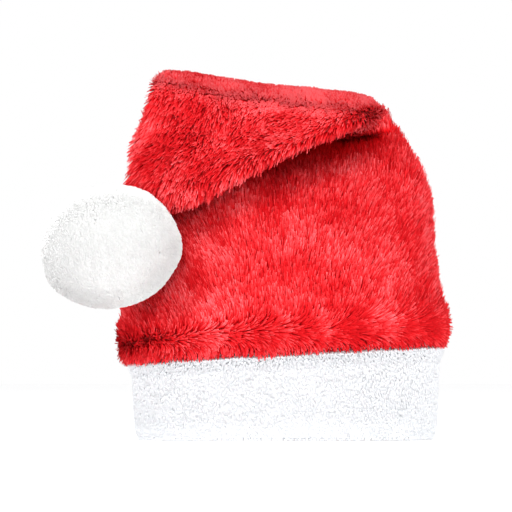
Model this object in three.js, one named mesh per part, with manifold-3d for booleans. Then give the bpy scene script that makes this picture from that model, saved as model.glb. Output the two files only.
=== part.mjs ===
// A plush Santa hat for a small dog: a red crown whose tail is folded forward over the top edge
// and hangs down at the left, a white band round the rim and a white pompom at the tail's tip.
// Millimetres, +Z up. The hat stands on its band and its front faces -Y.

import * as THREE from 'three';
import { mergeVertices } from 'three/addons/utils/BufferGeometryUtils.js';
import Module from 'manifold-3d';

const wasm = await Module();
wasm.setup();

// Driving sizes of the band
const bandWidth = 154;
const bandDepth = 118;
const bandHeight = 45.2;
const bandWall = 13; // plush folded double, with its pile
const bandFullness = 2.2; // 2 is an ellipse, more is squarer

// Driving sizes of the crown
const hatHeight = 187;
const hemBulgeSide = 8.5; // how far the crown stands out over the band at each side
const hemBulgeFront = 5; // and at the front and back
const crownWidth = bandWidth + 2 * hemBulgeSide;
const crownDepth = bandDepth + 2 * hemBulgeFront;
const crownWall = 8; // backing cloth and standing pile
const seamRise = 10; // the seam lies higher at the right than at the left
const foldThickness = 25; // both layers of the flattened tail where it folds
const leastHalf = 1.2; // half of the narrowest that the hollow gets
const flapGap = 4; // between the hanging tail and the crown's front
const flapCurlShare = 0.85; // how far the tail curls round the crown's front

// Driving sizes of the pompom
const pompomWidth = 69;
const pompomDepth = 62;
const pompomHeight = 60;
const pompomTilt = 12; // degrees, right side up
const pompomHang = [-0.41, -0.47, -0.54]; // its middle from the tail's end, in half pompom sizes

// Pile locks
const lockHeight = 1.5; // how far a lock stands out of the crown's and band's surface
const lockSlope = 0.1; // the most that it stands out, as a share of its length
const lockComb = 0.35; // how far it is combed towards the rim, as a share of the way to the next
const pompomLocks = 90;
const pompomCoreShare = 0.85; // core size as a share of the pompom
const pompomLockShare = 0.2; // as a share of the pompom's half height
const pompomRootShare = 0.7; // where a lock starts, as a share of the way out from the middle
const pompomSideShare = 0.9; // how far out it keeps its full width

// Running details
const seamGap = 0.3; // between sewn pieces that face each other
const seatGap = 0.5; // between the pompom and the cloth that it is pressed against

// Soft waves of the crown's surface. turns counts the waves round it and climb how fast they
// turn from row to row, in radians, and height is in millimetres.
const swells = [
  { height: 0.5, turns: 4, climb: 0.4, start: 0 },
  { height: 0.4, turns: 2, climb: 2.2, start: 1 },
  { height: 0.3, turns: 5, climb: -0.8, start: 2 },
];

// Grooves of the crown
const hemGrooveDepth = 1.8;
const grooveRow = 1.75; // where the groove runs, counted in rows of the crown's table
const grooveSpreadRows = 0.45;
const sideSeamDepth = 2.2;
const sideSeamTurn = 205; // degrees round the crown; the other seam is opposite
const sideSeamSpread = 0.1; // in radians
const sideSeamRows = 6; // how many rows of the table it takes to fade

// Mesh counts
const around = 56;
const innerAround = 26;
const ringsPerRow = 2;
const lockSides = 5;

const radians = THREE.MathUtils.degToRad;

// The crown's cross sections from hem to tip. left and right are the ends' places across the hat,
// as shares of half the crown's width. leftUp and rightUp are their heights, from 0 at the seam to
// 1 at the hat's full height, and sag is how far the middle hangs below the ends. back is the
// section's middle and deep its thickness, as shares of the crown's depth, and fold its thickness
// as a share of the fold's. lean is where the outer side faces: 0 back, 90 up, 180 forward. drape
// is how far the section follows the crown's front, and full how square its ends are.
const crownColumns = [
  'at', 'left', 'right', 'leftUp', 'rightUp', 'sag', 'back', 'deep', 'fold', 'lean', 'drape', 'full',
];
const crownTable = [
  ['hem', -0.93, 0.915, 0, 0, 0, 0, 0.93, 0, 0, 0, 2.2],
  ['lip', -0.975, 0.945, 0.02, 0.02, 0, 0, 0.985, 0, 0, 0, 2.2],
  ['bulge', -0.985, 0.955, 0.075, 0.07, 0, 0, 1, 0, 0, 0, 2.2],
  ['waist', -0.95, 0.905, 0.165, 0.165, 0, 0, 0.975, 0, 0, 0, 2.2],
  ['lower side', -0.93, 0.88, 0.28, 0.28, 0, 0.005, 0.94, 0, 0, 0, 2.2],
  ['middle', -0.92, 0.867, 0.4, 0.4, 0, 0.01, 0.85, 0, 0, 0, 2.25],
  ['upper side', -0.915, 0.838, 0.53, 0.525, 0, 0.015, 0.7, 0, 0, 0, 2.3],
  ['shoulder', -0.9, 0.782, 0.65, 0.635, 0, 0.02, 0.53, 0, 0, 0, 2.4],
  ['front top', -0.88, 0.71, 0.745, 0.722, 0, 0.025, 0.37, 0, 0, 0, 2.5],
  ['fold begins', -0.84, 0.665, 0.82, 0.767, 0, 0.03, 0, 1, 8, 0, 2.6],
  ['fold rises', -0.8, 0.625, 0.9, 0.812, 0.011, -0.005, 0, 0.92, 48, 0, 2.7],
  ['ridge', -0.78, 0.575, 0.943, 0.827, 0.022, -0.095, 0, 0.84, 92, 0, 2.6],
  ['fold falls', -0.805, 0.5, 0.9, 0.806, 0.011, -0.2, 0, 0.84, 135, 0.05, 2.6],
  ['flap', -0.84, 0.4, 0.832, 0.778, 0, -0.22, 0, 0.84, 166, 0.4, 2.5],
  ['upper flap', -0.87, 0.19, 0.768, 0.732, 0, -0.25, 0, 0.84, 180, 1, 2.4],
  ['middle flap', -0.9, -0.05, 0.706, 0.668, 0, -0.25, 0, 0.84, 180, 1, 2.3],
  ['lower flap', -0.92, -0.28, 0.65, 0.596, 0, -0.25, 0, 0.82, 180, 1, 2.2],
  ['tail', -0.925, -0.49, 0.6, 0.536, 0, -0.25, 0, 0.78, 180, 1, 2.2],
  ['neck', -0.92, -0.68, 0.55, 0.496, 0, -0.25, 0, 0.72, 180, 1, 2.1],
  ['tip', -0.915, -0.77, 0.505, 0.466, 0, -0.25, 0, 0.5, 180, 1, 2],
];
const crownSections = crownTable.map((row) =>
  Object.fromEntries(crownColumns.map((column, index) => [column, row[index]])),
);
const lastRisingRow = crownSections.findIndex((row) => row.at === 'fold begins');
const lastHollowRow = crownSections.findIndex((row) => row.at === 'tail');

// The band's profile. inset is how far the surface lies inside the band's outermost line, as a
// share of the band's wall, and up its height, as a share of the band's height.
const bandOutside = [
  { inset: 0.55, up: 0 },
  { inset: 0.32, up: 0.05 },
  { inset: 0.14, up: 0.15 },
  { inset: 0.05, up: 0.3 },
  { inset: 0.01, up: 0.47 },
  { inset: 0, up: 0.64 },
  { inset: 0.02, up: 0.82 },
  { inset: 0.12, up: 1 },
];
const bandInside = [
  { inset: 0.94, up: 0 },
  { inset: 1, up: 0.09 },
  { inset: 1.02, up: 0.5 },
  { inset: 0.98, up: 1 },
];

// One column of the table at a place between two rows, on a smooth curve through the rows.
function smoothColumn(rows, column, place) {
  const last = rows.length - 1;
  const row = Math.min(Math.floor(place), last - 1);
  const part = place - row;
  const value = (index) => rows[THREE.MathUtils.clamp(index, 0, last)][column];
  const before = value(row - 1);
  const from = value(row);
  const to = value(row + 1);
  const after = value(row + 2);
  const slopeFrom = (to - before) / 2;
  const slopeTo = (after - from) / 2;
  const square = part * part;
  const cube = square * part;
  return (
    from * (2 * cube - 3 * square + 1) +
    slopeFrom * (cube - 2 * square + part) +
    to * (3 * square - 2 * cube) +
    slopeTo * (cube - square)
  );
}

function seamHeight(x) {
  return bandHeight + (seamRise * x) / crownWidth;
}

// The crown's section at a place in the table, in millimetres.
function sectionAt(place) {
  const column = (name) => smoothColumn(crownSections, name, place);
  const left = (column('left') * crownWidth) / 2;
  const right = (column('right') * crownWidth) / 2;
  const height = (up, x) => THREE.MathUtils.lerp(seamHeight(x), hatHeight, up);
  return {
    left,
    right,
    leftZ: height(column('leftUp'), left),
    rightZ: height(column('rightUp'), right),
    sag: column('sag') * hatHeight,
    y: column('back') * crownDepth,
    thickness: column('deep') * crownDepth + column('fold') * foldThickness,
    lean: radians(column('lean')),
    drape: THREE.MathUtils.clamp(column('drape'), 0, 1),
    full: column('full'),
  };
}

// Where a section of the rising crown lies, by height, for what hangs in front of it.
const risingSections = Array.from({ length: lastRisingRow * ringsPerRow + 1 }, (_, step) =>
  sectionAt(step / ringsPerRow),
);

function crownFront(x, z) {
  const heightOf = (section) => (section.leftZ + section.rightZ) / 2;
  const above = risingSections.findIndex((section) => heightOf(section) > z);
  const upper = above < 0 ? risingSections.length - 1 : Math.max(above, 1);
  const low = risingSections[upper - 1];
  const high = risingSections[upper];
  const part = THREE.MathUtils.clamp(
    (z - heightOf(low)) / (heightOf(high) - heightOf(low)),
    0,
    1,
  );
  const mix = (name) => THREE.MathUtils.lerp(low[name], high[name], part);
  const middle = (mix('left') + mix('right')) / 2;
  const halfWidth = (mix('right') - mix('left')) / 2;
  const across = Math.min(Math.abs(x - middle) / halfWidth, 1) * flapCurlShare;
  const full = mix('full');
  const bulge = Math.pow(1 - Math.pow(across, full), 1 / full);
  return mix('y') - (mix('thickness') / 2) * bulge;
}

// A value with its sign kept, raised to a power.
function signedPower(value, power) {
  return Math.sign(value) * Math.pow(Math.abs(value), power);
}

// A smooth hump of height 1 at 0 that has faded at about twice the width.
function hump(distance, width) {
  return Math.exp(-Math.pow(distance / width, 2));
}

// Soft waves, the groove above the hem and the two side seams, as an offset of the surface. They
// start from nothing at the hem, where the crown meets the band.
function crownRelief(place, angle) {
  const start = Math.min(place, 1);
  const swell = swells.reduce(
    (sum, wave) => sum + wave.height * Math.sin(wave.turns * angle + wave.climb * place + wave.start),
    0,
  );
  const groove = hump(place - grooveRow, grooveSpreadRows) * Math.max(-Math.sin(angle), 0);
  const leftSeam = angle - radians(sideSeamTurn);
  const fromSeam = Math.min(Math.abs(leftSeam), Math.abs(leftSeam + Math.PI));
  const seam = hump(fromSeam, sideSeamSpread) * Math.max(1 - place / sideSeamRows, 0);
  return start * (swell - hemGrooveDepth * groove - sideSeamDepth * seam);
}

// One ring of the crown's surface, offset inwards or outwards by a distance.
function crownRing(place, count, offset, relief) {
  const section = sectionAt(place);
  const halfWidth = (section.right - section.left) / 2;
  const ring = [];
  for (let step = 0; step < count; step++) {
    const angle = (2 * Math.PI * step) / count;
    const grow = offset + (relief ? crownRelief(place, angle) : 0);
    const wide = Math.max(halfWidth + grow, leastHalf);
    const thick = Math.max(section.thickness / 2 + grow, leastHalf);
    const across = (wide / halfWidth) * signedPower(Math.cos(angle), 2 / section.full);
    const out = thick * signedPower(Math.sin(angle), 2 / section.full);
    const share = (1 + across) / 2;
    const x = THREE.MathUtils.lerp(section.left, section.right, share);
    const sag = section.sag * Math.sin(Math.PI * THREE.MathUtils.clamp(share, 0, 1));
    const z = THREE.MathUtils.lerp(section.leftZ, section.rightZ, share) - sag;
    const draped = crownFront(x, z) - flapGap - section.thickness / 2;
    const y = THREE.MathUtils.lerp(section.y, draped, section.drape);
    ring.push(
      new THREE.Vector3(x, y + out * Math.cos(section.lean), z + out * Math.sin(section.lean)),
    );
  }
  return ring;
}

// Lifts every other point of a ring into a lock, combed towards the ring before it. centreOf
// gives a point inside the cloth that a lock points away from. Crowded rings get lower locks.
function raiseLocks(rings, centreOf) {
  const smooth = rings.map((ring) => ring.map((point) => point.clone()));
  for (let row = 2; row < rings.length - 1; row++) {
    for (let step = row % 2; step < rings[row].length; step += 2) {
      const room = smooth[row - 1][step].distanceTo(smooth[row + 1][step]);
      const outwards = smooth[row][step].clone().sub(centreOf(row, step)).normalize();
      const lift = Math.min(lockHeight, room * lockSlope);
      rings[row][step].lerp(smooth[row - 1][step], lockComb).addScaledVector(outwards, lift);
    }
  }
  return rings;
}

// A closed solid through a stack of rings, with a flat or fanned cap at each end. The quads are
// split so that each lock stands on its four neighbours.
function solidThrough(rings) {
  const count = rings[0].length;
  const middleOf = (ring) =>
    ring.reduce((sum, point) => sum.add(point), new THREE.Vector3()).divideScalar(count);
  const points = [...rings.flat(), middleOf(rings[0]), middleOf(rings[rings.length - 1])];
  const bottom = points.length - 2;
  const top = points.length - 1;
  const faces = [];
  for (let step = 0; step < count; step++) {
    const next = (step + 1) % count;
    for (let row = 0; row < rings.length - 1; row++) {
      const low = row * count;
      const high = low + count;
      const quad = [low + step, low + next, high + next, high + step];
      const [a, b, c, d] = (row + step) % 2 ? quad : [...quad.slice(1), quad[0]];
      faces.push(a, b, c, a, c, d);
    }
    const lastRing = (rings.length - 1) * count;
    faces.push(bottom, next, step, top, lastRing + step, lastRing + next);
  }
  const geometry = new THREE.BufferGeometry();
  geometry.setAttribute(
    'position',
    new THREE.Float32BufferAttribute(points.flatMap((point) => point.toArray()), 3),
  );
  geometry.setIndex(faces);
  return solidOf(geometry);
}

function solidOf(geometry) {
  geometry.deleteAttribute('normal');
  geometry.deleteAttribute('uv');
  const merged = mergeVertices(geometry, 1e-4);
  return new wasm.Manifold(
    new wasm.Mesh({
      numProp: 3,
      vertProperties: merged.attributes.position.array,
      triVerts: new Uint32Array(merged.index.array),
    }),
  );
}

function geometryOf(solid) {
  const mesh = solid.getMesh();
  const geometry = new THREE.BufferGeometry();
  geometry.setAttribute('position', new THREE.BufferAttribute(mesh.vertProperties, 3));
  geometry.setIndex(new THREE.BufferAttribute(mesh.triVerts, 1));
  geometry.computeVertexNormals();
  return geometry;
}

// The largest of the bodies that a cut leaves.
function mainBody(solid) {
  return solid.decompose().reduce((best, body) => (body.volume() > best.volume() ? body : best));
}

function placesTo(lastRow, perRow) {
  return Array.from({ length: lastRow * perRow + 1 }, (_, step) => step / perRow);
}

// The crown's outer form, grown by a distance.
function crownForm(grow) {
  const places = placesTo(crownSections.length - 1, ringsPerRow);
  const rings = places.map((place) => crownRing(place, around, grow, true));
  const inner = places.map((place) => crownRing(place, around, grow - crownWall, false));
  return solidThrough(raiseLocks(rings, (row, step) => inner[row][step]));
}

function makeCrown() {
  const hollowRings = placesTo(lastHollowRow, 1).map((place) =>
    crownRing(place, innerAround, -crownWall, false),
  );
  const belowSeam = hollowRings[0].map((point) => point.clone().setZ(point.z - crownWall));
  const hollow = solidThrough([belowSeam, ...hollowRings]);
  return mainBody(crownForm(0).subtract(hollow));
}

// A ring of the band at a row of its profile.
function bandRing(row, count) {
  const inset = row.inset * bandWall;
  return Array.from({ length: count }, (_, step) => {
    const angle = (2 * Math.PI * step) / count;
    const x = (bandWidth / 2 - inset) * signedPower(Math.cos(angle), 2 / bandFullness);
    const y = (bandDepth / 2 - inset) * signedPower(Math.sin(angle), 2 / bandFullness);
    return new THREE.Vector3(x, y, row.up * (seamHeight(x) - seamGap));
  });
}

function makeBand() {
  const outside = bandOutside.map((row) => bandRing(row, around));
  const axis = (row) => new THREE.Vector3(0, 0, outside[row][0].z);
  const inside = bandInside.map((row) => bandRing(row, innerAround));
  const below = inside[0].map((point) => point.clone().setZ(-bandWall));
  const above = inside[inside.length - 1].map((point) => point.clone().setZ(point.z + bandWall));
  return solidThrough(raiseLocks(outside, axis)).subtract(
    solidThrough([below, ...inside, above]),
  );
}

// One lock of the pompom, along +Y from inside the core, with a blunt point.
function pompomLock(length, radius) {
  const profile = [
    new THREE.Vector2(0, length * pompomRootShare),
    new THREE.Vector2(radius, length * pompomRootShare),
    new THREE.Vector2(radius, length * pompomSideShare),
    new THREE.Vector2(0, length),
  ];
  return new THREE.LatheGeometry(profile, lockSides);
}

function makePompom() {
  const size = new THREE.Vector3(pompomWidth, pompomDepth, pompomHeight).multiplyScalar(0.5);
  const core = new THREE.IcosahedronGeometry(pompomCoreShare, 2).scale(size.x, size.y, size.z);
  const locks = [];
  const goldenTurn = Math.PI * (3 - Math.sqrt(5));
  const up = new THREE.Vector3(0, 1, 0);
  for (let index = 0; index < pompomLocks; index++) {
    const height = 1 - (2 * index + 1) / pompomLocks;
    const girth = Math.sqrt(1 - height * height);
    const turn = goldenTurn * index;
    const reach = new THREE.Vector3(
      girth * Math.cos(turn),
      height,
      girth * Math.sin(turn),
    ).multiply(size);
    const turned = new THREE.Quaternion().setFromUnitVectors(up, reach.clone().normalize());
    const lock = pompomLock(reach.length(), size.z * pompomLockShare);
    locks.push(solidOf(lock.applyQuaternion(turned)));
  }
  const tipRing = crownRing(crownSections.length - 1, innerAround, 0, false);
  const tip = tipRing
    .reduce((sum, point) => sum.add(point), new THREE.Vector3())
    .divideScalar(innerAround);
  const centre = tip.add(new THREE.Vector3(...pompomHang).multiply(size));
  const ball = locks
    .reduce((whole, lock) => whole.add(lock), solidOf(core))
    .rotate([0, -pompomTilt, 0])
    .translate(centre.toArray());
  return mainBody(ball.subtract(crownForm(seatGap)));
}

function plush(colour) {
  return new THREE.MeshStandardMaterial({ color: colour, roughness: 0.95, metalness: 0 });
}

function pieceOf(name, solid, material) {
  const piece = new THREE.Mesh(geometryOf(solid), material);
  piece.name = name;
  return piece;
}

const redPlush = plush(0xd8141c);
const whitePlush = plush(0xf3f4f6);

const hat = new THREE.Group();
hat.add(
  pieceOf('crown', makeCrown(), redPlush),
  pieceOf('band', makeBand(), whitePlush),
  pieceOf('pompom', makePompom(), whitePlush),
);

// The origin is on the floor, under the middle of the whole hat.
const reach = new THREE.Box3().setFromObject(hat);
const middle = reach.getCenter(new THREE.Vector3());
hat.position.set(-middle.x, -middle.y, -reach.min.z);

export default hat;
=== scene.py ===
"""The looks of a plush santa hat for a small dog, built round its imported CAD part.

Standing pile grows on three cloth forms: the red crown with its tail folded forward, the white
band and the white pompom. Everything is in metres, in the part's own frame.
"""

import math

import bpy
import numpy as np
from bpy.props import FloatProperty, FloatVectorProperty, IntProperty, PointerProperty
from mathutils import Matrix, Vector, noise


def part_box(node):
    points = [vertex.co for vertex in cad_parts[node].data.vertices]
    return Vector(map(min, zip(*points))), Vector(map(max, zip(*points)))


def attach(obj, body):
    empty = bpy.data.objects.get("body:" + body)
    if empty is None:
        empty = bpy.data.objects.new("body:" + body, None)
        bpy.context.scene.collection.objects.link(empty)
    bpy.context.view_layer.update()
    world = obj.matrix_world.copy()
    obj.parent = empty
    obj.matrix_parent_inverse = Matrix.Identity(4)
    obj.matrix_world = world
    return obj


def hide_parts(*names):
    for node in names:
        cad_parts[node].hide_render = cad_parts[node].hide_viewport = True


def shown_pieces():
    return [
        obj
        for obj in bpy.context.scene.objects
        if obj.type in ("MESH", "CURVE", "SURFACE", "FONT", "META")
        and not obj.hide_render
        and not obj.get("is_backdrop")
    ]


bl_info = {
    "name": "Plush Santa Hat",
    "version": (1, 0, 0),
    "blender": (4, 5, 0),
    "location": "View3D > Sidebar > Santa Hat",
    "description": "Cloth forms and standing pile of a plush santa hat, with its stage",
    "category": "Object",
}

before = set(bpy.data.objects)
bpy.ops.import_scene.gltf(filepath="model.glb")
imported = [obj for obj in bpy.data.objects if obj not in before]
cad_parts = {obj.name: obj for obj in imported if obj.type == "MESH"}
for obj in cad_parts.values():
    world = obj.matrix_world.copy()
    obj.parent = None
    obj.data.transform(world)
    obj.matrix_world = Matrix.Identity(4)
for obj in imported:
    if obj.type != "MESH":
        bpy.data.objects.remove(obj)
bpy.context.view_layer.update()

# The part's own sizes, in metres
BAND_WIDTH = 0.154
BAND_DEPTH = 0.118
BAND_HEIGHT = 0.0452
BAND_FULLNESS = 2.2
HAT_HEIGHT = 0.187
HEM_BULGE_SIDE = 0.0085
HEM_BULGE_FRONT = 0.005
CROWN_WIDTH = BAND_WIDTH + 2 * HEM_BULGE_SIDE
CROWN_DEPTH = BAND_DEPTH + 2 * HEM_BULGE_FRONT
CROWN_WALL = 0.008
SEAM_RISE = 0.01
FOLD_THICKNESS = 0.025
LEAST_HALF = 0.0012
FLAP_GAP = 0.004
FLAP_CURL = 0.85
POMPOM_HALF = np.array([0.069, 0.062, 0.060]) / 2
POMPOM_TILT = math.radians(12)
POMPOM_SWEEP = (0.35, -0.8, -1.0)  # where its yarn is brushed
POMPOM_HANG = np.array([-0.41, -0.47, -0.54])
SWELLS = ((0.0005, 4, 0.4, 0), (0.0004, 2, 2.2, 1), (0.0003, 5, -0.8, 2))
HEM_GROOVE_DEPTH = 0.0018
GROOVE_ROW = 1.75
GROOVE_SPREAD = 0.45
SIDE_SEAM_DEPTH = 0.0022
SIDE_SEAM_TURN = math.radians(205)
SIDE_SEAM_SPREAD = 0.1
SIDE_SEAM_ROWS = 6

# The crown's cross sections from hem to tip, as the part's source has them
CROWN_COLUMNS = (
    "left", "right", "leftUp", "rightUp", "sag", "back",
    "deep", "fold", "lean", "drape", "full",
)
CROWN_ROWS = (
    ("hem", -0.93, 0.915, 0, 0, 0, 0, 0.93, 0, 0, 0, 2.2),
    ("lip", -0.975, 0.945, 0.02, 0.02, 0, 0, 0.985, 0, 0, 0, 2.2),
    ("bulge", -0.985, 0.955, 0.075, 0.07, 0, 0, 1, 0, 0, 0, 2.2),
    ("waist", -0.95, 0.905, 0.165, 0.165, 0, 0, 0.975, 0, 0, 0, 2.2),
    ("lower side", -0.93, 0.88, 0.28, 0.28, 0, 0.005, 0.94, 0, 0, 0, 2.2),
    ("middle", -0.92, 0.867, 0.4, 0.4, 0, 0.01, 0.85, 0, 0, 0, 2.25),
    ("upper side", -0.915, 0.838, 0.53, 0.525, 0, 0.015, 0.7, 0, 0, 0, 2.3),
    ("shoulder", -0.9, 0.782, 0.65, 0.635, 0, 0.02, 0.53, 0, 0, 0, 2.4),
    ("front top", -0.88, 0.71, 0.745, 0.722, 0, 0.025, 0.37, 0, 0, 0, 2.5),
    ("fold begins", -0.84, 0.665, 0.82, 0.767, 0, 0.03, 0, 1, 8, 0, 2.6),
    ("fold rises", -0.8, 0.625, 0.9, 0.812, 0.011, -0.005, 0, 0.92, 48, 0, 2.7),
    ("ridge", -0.78, 0.575, 0.943, 0.827, 0.022, -0.095, 0, 0.84, 92, 0, 2.6),
    ("fold falls", -0.805, 0.5, 0.9, 0.806, 0.011, -0.2, 0, 0.84, 135, 0.05, 2.6),
    ("flap", -0.84, 0.4, 0.832, 0.778, 0, -0.22, 0, 0.84, 166, 0.4, 2.5),
    ("upper flap", -0.87, 0.19, 0.768, 0.732, 0, -0.25, 0, 0.84, 180, 1, 2.4),
    ("middle flap", -0.9, -0.05, 0.706, 0.668, 0, -0.25, 0, 0.84, 180, 1, 2.3),
    ("lower flap", -0.92, -0.28, 0.65, 0.596, 0, -0.25, 0, 0.82, 180, 1, 2.2),
    ("tail", -0.925, -0.49, 0.6, 0.536, 0, -0.25, 0, 0.78, 180, 1, 2.2),
    ("neck", -0.92, -0.68, 0.55, 0.496, 0, -0.25, 0, 0.72, 180, 1, 2.1),
    ("tip", -0.915, -0.77, 0.505, 0.466, 0, -0.25, 0, 0.5, 180, 1, 2),
)
ROW_NAMES = [row[0] for row in CROWN_ROWS]
CROWN = dict(zip(CROWN_COLUMNS, np.array([row[1:] for row in CROWN_ROWS], float).T))
FOLD_ROW = ROW_NAMES.index("fold begins")
RIDGE_ROW = ROW_NAMES.index("ridge")
FLAP_ROW = ROW_NAMES.index("flap")
HOLLOW_ROW = ROW_NAMES.index("tail")
TIP_ROW = ROW_NAMES.index("tip")

# The band's cloth under its pile: how far it lies inside the band's outline, and its height
BAND_CLOTH = (
    (0.0044, 0.0014), (0.0028, 0.0019), (0.0018, 0.0055), (0.0013, 0.014), (0.0010, 0.022),
    (0.0009, 0.030), (0.0005, 0.037), (-0.0006, 0.0425), (0.0070, 0.0445), (0.0094, 0.040),
    (0.0096, 0.030), (0.0096, 0.018), (0.0095, 0.008), (0.0094, 0.0042),
)
BAND_CLOTH_OUTER = 8  # the rows that face outwards or down
BAND_CLOTH_WAVE = 0.0004

# How the front sinks back and the tail's edge comes forward where the fold opens
MOUTH_DEPTH = 0.027
MOUTH_RISE = 0.001
MOUTH_HEIGHT = 0.017
MOUTH_LIFT = 0.006
MOUTH_SIDES = (-0.03, 0.03)
TAUT_ROUNDS = 300
EASE_ROUNDS = 40
LIP_SPREAD = 0.8  # rows of the crown over which the fold's lip is rounded
LIP_ROUNDS = 20

# How the red pile is combed. A lean is how far a tuft reaches along the cloth, over its rise
RED_LEAN = 1.9
FOLD_LEAN_LESS = 0.5
TOP_LEAN = 0.35  # the pile on the fold's top stands nearly upright
HEM_LEAN = 0.6  # at the hem, as a share of the lean above it
FAN_TURN = 0.6  # how far the front's pile is combed outwards at the sides, across over up
HEM_SWIRL = -0.9  # how far the pile in the hem's groove is combed sideways
LIP_DROOP = 0.5  # how far the pile on the fold's front lip hangs down
COMBED_ROWS = (12.0, 14.0)  # from the ridge's comb to the tail's
TAIL_COMB = (-0.5, 0.0, -1.0)

# Where the fold's pile parts, by the upward share of the cloth's normal
TOP_SLOPE = (0.75, 1)
LIP_SLOPE = 0.86
PARTING_SLOPE = 0.87
FACE_SLOPE = (0.2, 0.5)
FACE_SIDES = (0.005, 0.035)  # painted shade on the tail's face fades out from left to right
SLOPE_WANDER = 0.12

# Length of the red pile, as shares
RED_LENGTH = 1.1
HEM_LENGTH = 0.72
LIP_TRIM = 0.45
TOP_GROWTH = 0.25

# How much painted shade deepens the red in the hem's groove, the mouth under the fold and the
# tail's face, how much painted light pales it on the fold's lip, and how much thicker or thinner
# its tufts stand
GROOVE_PAINTED_SHADE = 0.5
MOUTH_PAINTED_SHADE = 0.8
FACE_PAINTED_SHADE = 0.12
LIP_PAINTED_LIGHT = 0.6
LIP_THICK = 1.5
PARTING_THICK = 4
GROOVE_THICK = 0.6
HIDDEN_THINNED = 0.85
SEAM_FADE = (0.0005, 0.003)  # above the seam, in metres
BACK_STRANDS = 0.8  # tufts on the crown's back, as a share of those on the other stretches

# The white pile
BAND_LEAN = 2.9
BAND_TUFT_WIDTH = 1.9
BAND_TUFTS = {"Clump pull": 0.05, "Wave turn": 0.3, "Stray": 0.05, "Roll": 0.1}
BAND_INSIDE_THICK = 0.3
UNDER_HEM_THICK = 0.3
POMPOM_LEAN = 1.9
POMPOM_TUFT_WIDTH = 2.4
POMPOM_TUFTS = {
    "Clump size": 0.004,
    "Clump pull": 0.15,
    "Wave turn": 0.35,
    "Stray": 0.08,
    "Roll": 0.15,
}
POMPOM_LENGTH = 0.92
POMPOM_LUMPS = 0.035
POLE_THICK = 1.5  # where the yarn is brushed from

# Knitted backings: their colours, the deeper one of painted shade between stitches, and stitches
# on the map
RED_BACKING = ((0.8, 0.01, 0.014), (0.55, 0.006, 0.009))
WHITE_BACKING = ((0.93, 0.94, 0.96), (0.91, 0.92, 0.94))
YARN_BACKING = ((0.98, 0.98, 0.98), (0.96, 0.96, 0.96))
STITCHES_A_RADIAN = 60
CROWN_STITCHES_A_ROW = 9
BAND_STITCHES_A_ROW = 4.0
YARN_STITCHES = 20

# Stage
CAMERA_PLACE = (0.0037, -2.5, 0.0396)
CAMERA_TARGET = (0.0037, 0.0, 0.092)
CAMERA_LENS = 351.6
FLOOR_HALF = 6.0
FLOOR_COLOUR = (0.93, 0.93, 0.935, 1)
FLOOR_GLOW = 0.5
ROOM_LIGHT = 0.5  # the white room's strength as light; the camera sees it at 1
LIGHTS = (  # name, place, size and power
    ("key light", (-0.8, -1.4, 1.9), 0.9, 18),
    ("front light", (-0.1, -2.7, 1.0), 1.2, 24),
    ("left light", (-2.2, -1.2, 0.6), 1.0, 22),
    ("right light", (2.2, -1.2, 0.6), 1.0, 26),
    ("back light", (0.3, 2.2, 1.8), 1.2, 26),
)

# Meshes
CROWN_RINGS_PER_ROW = 6
CROWN_AROUND = 144
BAND_AROUND = 160
POMPOM_RINGS = 40
TIP_POINTS = 26
MAP = "OFBake"  # the pile's own map: a strand's tone across it, root to tip up it
STRAND_MAP_HALF = 0.002
STRAND_TIP = 0.8  # a tuft's width at its tip, as a share of that at its root
UP = np.array([0.0, 0.0, 1.0])


# Sizes and colours


class PileSizes(bpy.types.PropertyGroup):
    """Sizes of the standing pile"""

    crown_pile: FloatProperty(
        name="Crown pile",
        description="Height of the red pile over its cloth",
        default=0.0034,
        unit="LENGTH",
    )
    band_pile: FloatProperty(
        name="Band pile",
        description="Height of the band's pile over its cloth",
        default=0.0008,
        unit="LENGTH",
    )
    pompom_pile: FloatProperty(
        name="Pompom pile",
        description="Height of the pompom's pile over its yarn middle",
        default=0.0026,
        unit="LENGTH",
    )
    strand_width: FloatProperty(
        name="Strand width",
        description="Width of one tuft of pile at its root",
        default=0.0006,
        unit="LENGTH",
    )
    clump_size: FloatProperty(
        name="Clump size",
        description="Width of the clumps that the tufts lean together in",
        default=0.0026,
        unit="LENGTH",
    )
    strands: IntProperty(
        name="Strands",
        description="Tufts on each stretch of pile",
        default=47000,
    )


class HatColours(bpy.types.PropertyGroup):
    """Colours of the plush"""

    # the roots' deeper red is painted shade down in the pile
    red_root_painted_shade: FloatVectorProperty(
        name="Red root",
        description="Colour of the red pile at its roots",
        default=(0.85, 0.004, 0.008),
        subtype="COLOR",
    )
    red_body: FloatVectorProperty(
        name="Red",
        description="Colour of the red pile",
        default=(0.96, 0.008, 0.014),
        subtype="COLOR",
    )
    # the tips' pinker red is painted sheen along the fibres
    red_tip_painted_sheen: FloatVectorProperty(
        name="Red tip",
        description="Colour of the red pile at its tips",
        default=(1.0, 0.14, 0.155),
        subtype="COLOR",
    )
    white: FloatVectorProperty(
        name="White",
        description="Colour of the white pile",
        default=(0.88, 0.895, 0.92),
        subtype="COLOR",
    )
    yarn: FloatVectorProperty(
        name="Yarn",
        description="Colour of the pompom's yarn",
        default=(0.95, 0.95, 0.945),
        subtype="COLOR",
    )


# The part's surfaces


def lerp(start, end, share):
    return start + (end - start) * share


def signed_power(value, power):
    return np.sign(value) * np.abs(value) ** power


def hump(distance, width):
    return np.exp(-((distance / width) ** 2))


def fade(value, start, end):
    """0 before start, 1 after end and smooth between."""
    share = np.clip((value - start) / (end - start), 0, 1)
    return share * share * (3 - 2 * share)


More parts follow.
